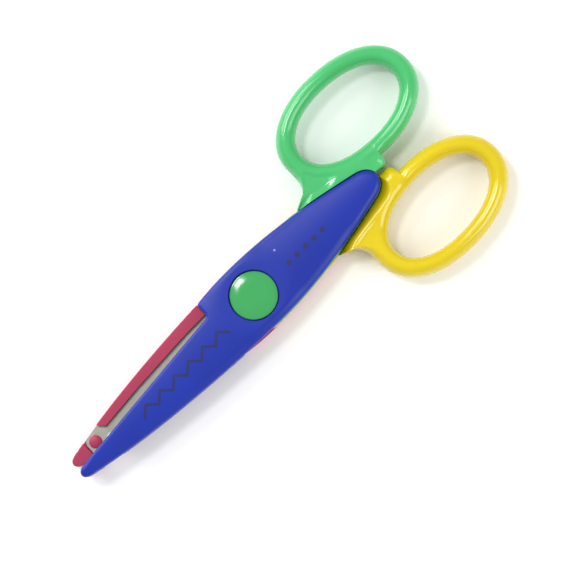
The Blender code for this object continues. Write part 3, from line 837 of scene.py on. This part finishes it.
def cover_body(name, cover):
    """The cover as one closed tube: each section runs over the rounded rim, the crowned top, down the cap's
    recess and the hub bore, out along the underside and up the outer wall.

    The crown falls as the square of the distance from the long axis, and starts past the cap's recess.
    """
    samples = 720
    deepest_rounding, lip_ease, wall_ease = 0.0016, 0.00012, 0.0002
    crown_x, crown_width = (-0.04, 0.0, 0.06), (0.004, 0.009, 0.003)
    crown_start, crown_full = 0.0075, 0.0135
    outline = cover_outline(cover, samples)
    rounding = rim_rounding(outline, cover)
    inward = -outward(outline)
    for axis in (0, 1):
        inward[:, axis] = smoothed(inward[:, axis], 3)
    plateau = outline + inward * rounding
    circle = CAP_RADIUS + cover.recess_gap
    ray = plateau / np.linalg.norm(plateau, axis=1, keepdims=True)
    levels = []
    for angle in np.radians(np.linspace(0, 90, 10)):
        drop = np.minimum(rounding[:, 0], deepest_rounding) * (1 - np.sin(angle))
        levels.append((outline + inward * rounding * (1 - np.cos(angle)), COVER_TOP - drop))
    for share in np.linspace(0, 1, 26)[1:]:
        plan = plateau * (1 - share) + ray * (circle + lip_ease) * share
        levels.append((plan, np.full(samples, COVER_TOP)))
    crowned = []
    for plan, height in levels:
        width = np.interp(plan[:, 0], crown_x, crown_width)
        beyond = ramp(np.linalg.norm(plan, axis=1), crown_start, crown_full)
        from_axis = np.clip(np.abs(plan[:, 1]) / width, 0, 1)
        crowned.append((plan, height - cover.crown * beyond * from_axis**2))
    recess = COVER_TOP - cover.recess_depth
    lip = COVER_TOP - lip_ease
    for radius, height in ((circle, lip), (circle, recess), (cover.bore, recess), (cover.bore, ARM_INNER)):
        crowned.append((ray * radius, np.full(samples, height)))
    crowned.append((plateau, np.full(samples, ARM_INNER)))
    crowned.append((outline + inward * wall_ease, np.full(samples, ARM_INNER)))
    crowned.append((outline, np.full(samples, ARM_INNER + wall_ease)))
    points = np.stack([np.column_stack([plan, height]) for plan, height in crowned], axis=1)
    return grid_object(name, points, True)


def stake_profile(root, seat, sizes):
    """A peg and its domed, melted head: the dome is a quarter ellipse."""
    shank, rim_share = 0.0009, 0.35
    quarter = np.linspace(0, np.pi / 2, 8)
    rim = sizes.stake_height * rim_share
    dome_height = sizes.stake_height - rim
    dome = np.column_stack([
        sizes.stake_radius * np.cos(quarter),
        seat - rim - dome_height * np.sin(quarter),
    ])
    return np.vstack([[(0, root), (shank, root), (shank, seat), (sizes.stake_radius, seat)], dome])


def cover(name, half, role):
    """A cover: the shell, cut away inside to leave its rib and nose, with its melted stakes joined on."""
    scene = bpy.context.scene
    sizes = scene.scissors_cover
    pivot = scene.scissors_pivot
    into_floor, arm_seat, far_below = 0.0003, 0.0007, -0.01
    piece = cover_body(name + "_moulding", sizes)
    carve(piece, prism_object("relief", relief_outline(sizes), far_below, sizes.floor), "DIFFERENCE")
    flange_inner = FLANGE_OUTER - scene.scissors_blade.thickness
    for places, seat in ((BLADE_STAKES, flange_inner), (ARM_STAKES, ARM_INNER + arm_seat)):
        for place in places:
            profile = stake_profile(sizes.floor + into_floor, seat, pivot)
            carve(piece, turned_object("stake", profile, place, 48), "UNION")
    seat_on_half(piece, half)
    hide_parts(name)
    wear(piece, material_for(role))
    return piece


def cut_line(blade, x):
    """The straight cutting edge's y at x."""
    cut_start = 0.0135
    return blade.cut_root + (x - cut_start) / (BLADE_END - cut_start) * (blade.cut_tip - blade.cut_root)


def back_line(cover, x):
    """The blade's back edge: inside the rib, then swelling to the full width past the rib's end."""
    rib_gap, outline_gap, swell, past_rib = 0.00006, 0.00012, 0.0017, 0.0001
    near_tip, back_side = 0.045, 0.002
    rib = rib_face(cover)
    inside = np.interp(x, rib[:, 0], rib[:, 1]) - rib_gap
    outline = cover_outline(cover, 720)
    edge = outline[(outline[:, 0] > near_tip) & (outline[:, 1] > back_side)]
    edge = edge[np.argsort(edge[:, 0])]
    outside = np.interp(x, edge[:, 0], edge[:, 1]) - outline_gap
    return inside + (outside - inside) * np.clip((x - cover.rib_end - past_rib) / swell, 0, 1)


def rounded_corner(value, fold):
    """The value itself, but half of t^2 / fold + fold below the fold, so that a corner at 0 is rounded."""
    return np.where(value < fold, (value * value / fold + fold) / 2, value)


def on_circles(line, radius):
    """The y at which each circle about the pivot meets a line of y over x, by repeated substitution."""
    y = np.zeros_like(radius)
    for _ in range(20):
        y = line(np.sqrt(radius**2 - y**2))
    return y


def blade(name, half, first_crest):
    """A corrugated plate: its height is a triangle wave of the distance from the pivot, eased at the folds,
    fading outwards to a flat flange; both ends lie flat at the crest height."""
    scene = bpy.context.scene
    sizes, cover_sizes = scene.scissors_blade, scene.scissors_cover
    root_gap, ring_step, wave_gap, least_flange, corner = 0.00045, 0.00013, 0.00025, 0.0003, 0.0009
    radius = np.concatenate([np.arange(HUB_RADIUS + root_gap, BLADE_END, ring_step), [BLADE_END]])
    last_crest = first_crest + sizes.periods * sizes.pitch
    phase = (radius - first_crest) / (sizes.pitch / 2)
    sawtooth = np.abs((phase + 1) % 2 - 1)
    fold = sizes.fold / (sizes.pitch / 2)
    eased = (rounded_corner(sawtooth, fold) + 1 - rounded_corner(1 - sawtooth, fold)) / 2
    fall = sizes.height * np.where((radius > first_crest) & (radius < last_crest), eased - eased.min(), 0.0)
    low = on_circles(lambda x: cut_line(sizes, x), radius)
    high = on_circles(lambda x: back_line(cover_sizes, x), radius)
    high -= corner * ramp(radius, BLADE_END - corner, BLADE_END) ** 2
    wave_end = np.minimum(-low - wave_gap, high - sizes.blend - least_flange)
    waved = low + (wave_end - low) * np.linspace(0, 1, 8)[:, None]
    blended = wave_end + sizes.blend * np.linspace(0, 1, 7)[1:, None]
    flange = blended[-1] + (high - blended[-1]) * np.linspace(0, 1, 6)[1:, None]
    y = np.vstack([waved, blended, flange]).T
    fade = 1 - smooth_step((y - wave_end[:, None]) / sizes.blend)
    outer = FLANGE_OUTER - fall[:, None] * fade
    x = np.sqrt(radius[:, None] ** 2 - y**2)
    top = np.dstack([x, y, outer])
    bottom = np.dstack([x, y, outer - sizes.thickness])[:, ::-1]
    piece = grid_object(name + "_strip", np.concatenate([top, bottom], axis=1), False, cap_rows=True)
    above, below = FLANGE_OUTER + BEYOND, FLANGE_OUTER - sizes.thickness - BEYOND
    for place in BLADE_STAKES:
        drill(piece, [(scene.scissors_pivot.stake_hole, above, below)], place, 48)
    seat_on_half(piece, half, 50.0)
    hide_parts(name)
    wear(piece, material_for("steel"))
    return piece


def pivot_cap(name, half, role):
    """A domed cap: it falls as the 2.2 power of the distance past its flat middle, to a rounded edge."""
    sizes = bpy.context.scene.scissors_pivot
    edge_share, power = 0.965, 2.2
    share = np.linspace(sizes.flat / CAP_RADIUS, edge_share, 24)
    fall = sizes.crown * ((share - share[0]) / (1 - share[0])) ** power
    dome = np.column_stack([CAP_RADIUS * share, COVER_TOP - fall])
    edge_x, edge_z = dome[-1]
    bend = np.radians(np.linspace(0, 90, 8))[1:]
    radius = CAP_RADIUS - edge_x
    rim = np.column_stack([edge_x + radius * np.sin(bend), edge_z - radius + radius * np.cos(bend)])
    floor = COVER_TOP - sizes.thickness
    profile = np.vstack([[(0.0, COVER_TOP)], dome, rim, [(CAP_RADIUS, floor), (0.0, floor)]])
    piece = turned_object(name + "_moulding", profile, sides=160)
    seat_on_half(piece, half)
    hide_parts(name)
    wear(piece, material_for(role))
    return piece


# ---------------------------------------------------------------- operators


class SCISSORS_OT_handles(bpy.types.Operator):
    """Build the green and yellow handles"""

    bl_idname = "scissors.handles"
    bl_label = "Handles"

    def execute(self, context):
        handle("green_handle", "front", "green")
        handle("yellow_handle", "back", "yellow")
        return {"FINISHED"}


class SCISSORS_OT_covers(bpy.types.Operator):
    """Build the blue and red covers"""

    bl_idname = "scissors.covers"
    bl_label = "Covers"

    def execute(self, context):
        cover("front_cover", "front", "blue")
        cover("back_cover", "back", "red")
        return {"FINISHED"}


class SCISSORS_OT_blades(bpy.types.Operator):
    """Build the two corrugated blades, half a pitch apart so that they nest"""

    bl_idname = "scissors.blades"
    bl_label = "Blades"

    def execute(self, context):
        sizes = context.scene.scissors_blade
        blade("front_blade", "front", sizes.start)
        blade("back_blade", "back", sizes.start + sizes.pitch / 2)
        return {"FINISHED"}


class SCISSORS_OT_pivot(bpy.types.Operator):
    """Build the pivot caps and finish the fasteners under them"""

    bl_idname = "scissors.pivot"
    bl_label = "Pivot"

    def execute(self, context):
        # The front cap wears the handle's green painted darker as shade.
        pivot_cap("front_pivot_cap", "front", "cap_green")
        pivot_cap("back_pivot_cap", "back", "yellow")
        for node in ("front_washer", "back_washer", "spring_washer", "pivot_screw", "pivot_sleeve"):
            wear(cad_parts[node], material_for("plated"))
        return {"FINISHED"}


class SCISSORS_OT_stage(bpy.types.Operator):
    """Set up the floor, the soft lights and the camera"""

    bl_idname = "scissors.stage"
    bl_label = "Studio"

    def execute(self, context):
        studio = context.scene.scissors_studio
        reach = 1.5
        corners = [(-reach, -reach, 0.0), (reach, -reach, 0.0), (reach, reach, 0.0), (-reach, reach, 0.0)]
        floor = mesh_object("studio_floor", corners, [(0, 1, 2, 3)])
        wear(floor, matt_paper("matt_white_paper", studio.floor))
        soft_light("overhead", (0.04, -0.37, 0.84), 0.16, 0.16, 2.0)
        soft_light("left_bank", (0.15, -0.75, 0.45), 0.5, 0.7, 5.6)
        soft_light("right_bank", (-0.35, 0.70, 0.50), 0.5, 0.7, 4.4)
        world = context.scene.world or bpy.data.worlds.new("studio")
        context.scene.world = world
        world.use_nodes = True
        sky = world.node_tree.nodes["Background"]
        sky.inputs["Color"].default_value = (1.0, 1.0, 1.0, 1.0)
        sky.inputs["Strength"].default_value = 0.6
        context.scene.view_settings.view_transform = "Standard"
        aim_camera(context.scene, studio)
        return {"FINISHED"}


def soft_light(name, place, width, depth, power):
    """A rectangular light that looks at the object."""
    lamp = bpy.data.lights.new(name, "AREA")
    lamp.shape = "RECTANGLE"
    lamp.size = width
    lamp.size_y = depth
    lamp.energy = power
    light = bpy.data.objects.new(name, lamp)
    light.location = place
    light.rotation_euler = (-Vector(place)).to_track_quat("-Z", "Y").to_euler()
    bpy.context.scene.collection.objects.link(light)


def aim_camera(scene, studio):
    """Looks down almost along the pivot axis, with the blade tip towards the view's lower left."""
    lens = bpy.data.cameras.new("studio_camera")
    lens.lens = studio.lens
    lens.sensor_width = 36.0
    lens.clip_start = 0.01
    distance = studio.view_width * studio.lens / lens.sensor_width
    camera = bpy.data.objects.new("studio_camera", lens)
    right = Vector((np.cos(studio.turn), np.cos(studio.turn + np.pi / 2), 0.0))
    up = Vector((np.sin(studio.turn), np.sin(studio.turn + np.pi / 2), 0.0))
    tilt = Matrix.Rotation(-studio.lean, 3, "X")
    axes = [tilt @ right, tilt @ up, tilt @ Vector((0.0, 0.0, 1.0))]
    # The pivot stands these shares of the view's width left of the middle and below it.
    left, below = 0.0511, 0.0208
    target = Vector((0.0, 0.0, MID_Z)) + studio.view_width * (left * axes[0] + below * axes[1])
    turn = Matrix(axes).transposed().to_4x4()
    camera.matrix_world = Matrix.Translation(target + distance * axes[2]) @ turn
    scene.collection.objects.link(camera)
    scene.camera = camera


class SCISSORS_PT_panel(bpy.types.Panel):
    """Lists the pieces in the sidebar"""

    bl_label = "Scissors"
    bl_idname = "SCISSORS_PT_panel"
    bl_space_type = "VIEW_3D"
    bl_region_type = "UI"
    bl_category = "Scissors"

    def draw(self, context):
        for operator in OPERATORS:
            self.layout.operator(operator.bl_idname)
        for name in SETTINGS:
            box = self.layout.box()
            group = getattr(context.scene, name)
            for field in group.__annotations__:
                box.prop(group, field)


OPERATORS = (
    SCISSORS_OT_handles,
    SCISSORS_OT_covers,
    SCISSORS_OT_blades,
    SCISSORS_OT_pivot,
    SCISSORS_OT_stage,
)
SETTINGS = {
    "scissors_loop": LoopSizes,
    "scissors_cover": CoverSizes,
    "scissors_blade": BladeSizes,
    "scissors_pivot": PivotSizes,
    "scissors_finishes": Finishes,
    "scissors_studio": StudioSettings,
}


def register():
    for group in SETTINGS.values():
        bpy.utils.register_class(group)
    for name, group in SETTINGS.items():
        setattr(bpy.types.Scene, name, PointerProperty(type=group))
    for operator in OPERATORS:
        bpy.utils.register_class(operator)
    bpy.utils.register_class(SCISSORS_PT_panel)


def unregister():
    bpy.utils.unregister_class(SCISSORS_PT_panel)
    for operator in reversed(OPERATORS):
        bpy.utils.unregister_class(operator)
    for name, group in SETTINGS.items():
        delattr(bpy.types.Scene, name)
        bpy.utils.unregister_class(group)


def main():
    register()
    bpy.ops.scissors.handles()
    bpy.ops.scissors.covers()
    bpy.ops.scissors.blades()
    bpy.ops.scissors.pivot()
    bpy.ops.scissors.stage()


if __name__ == "__main__":
    main()
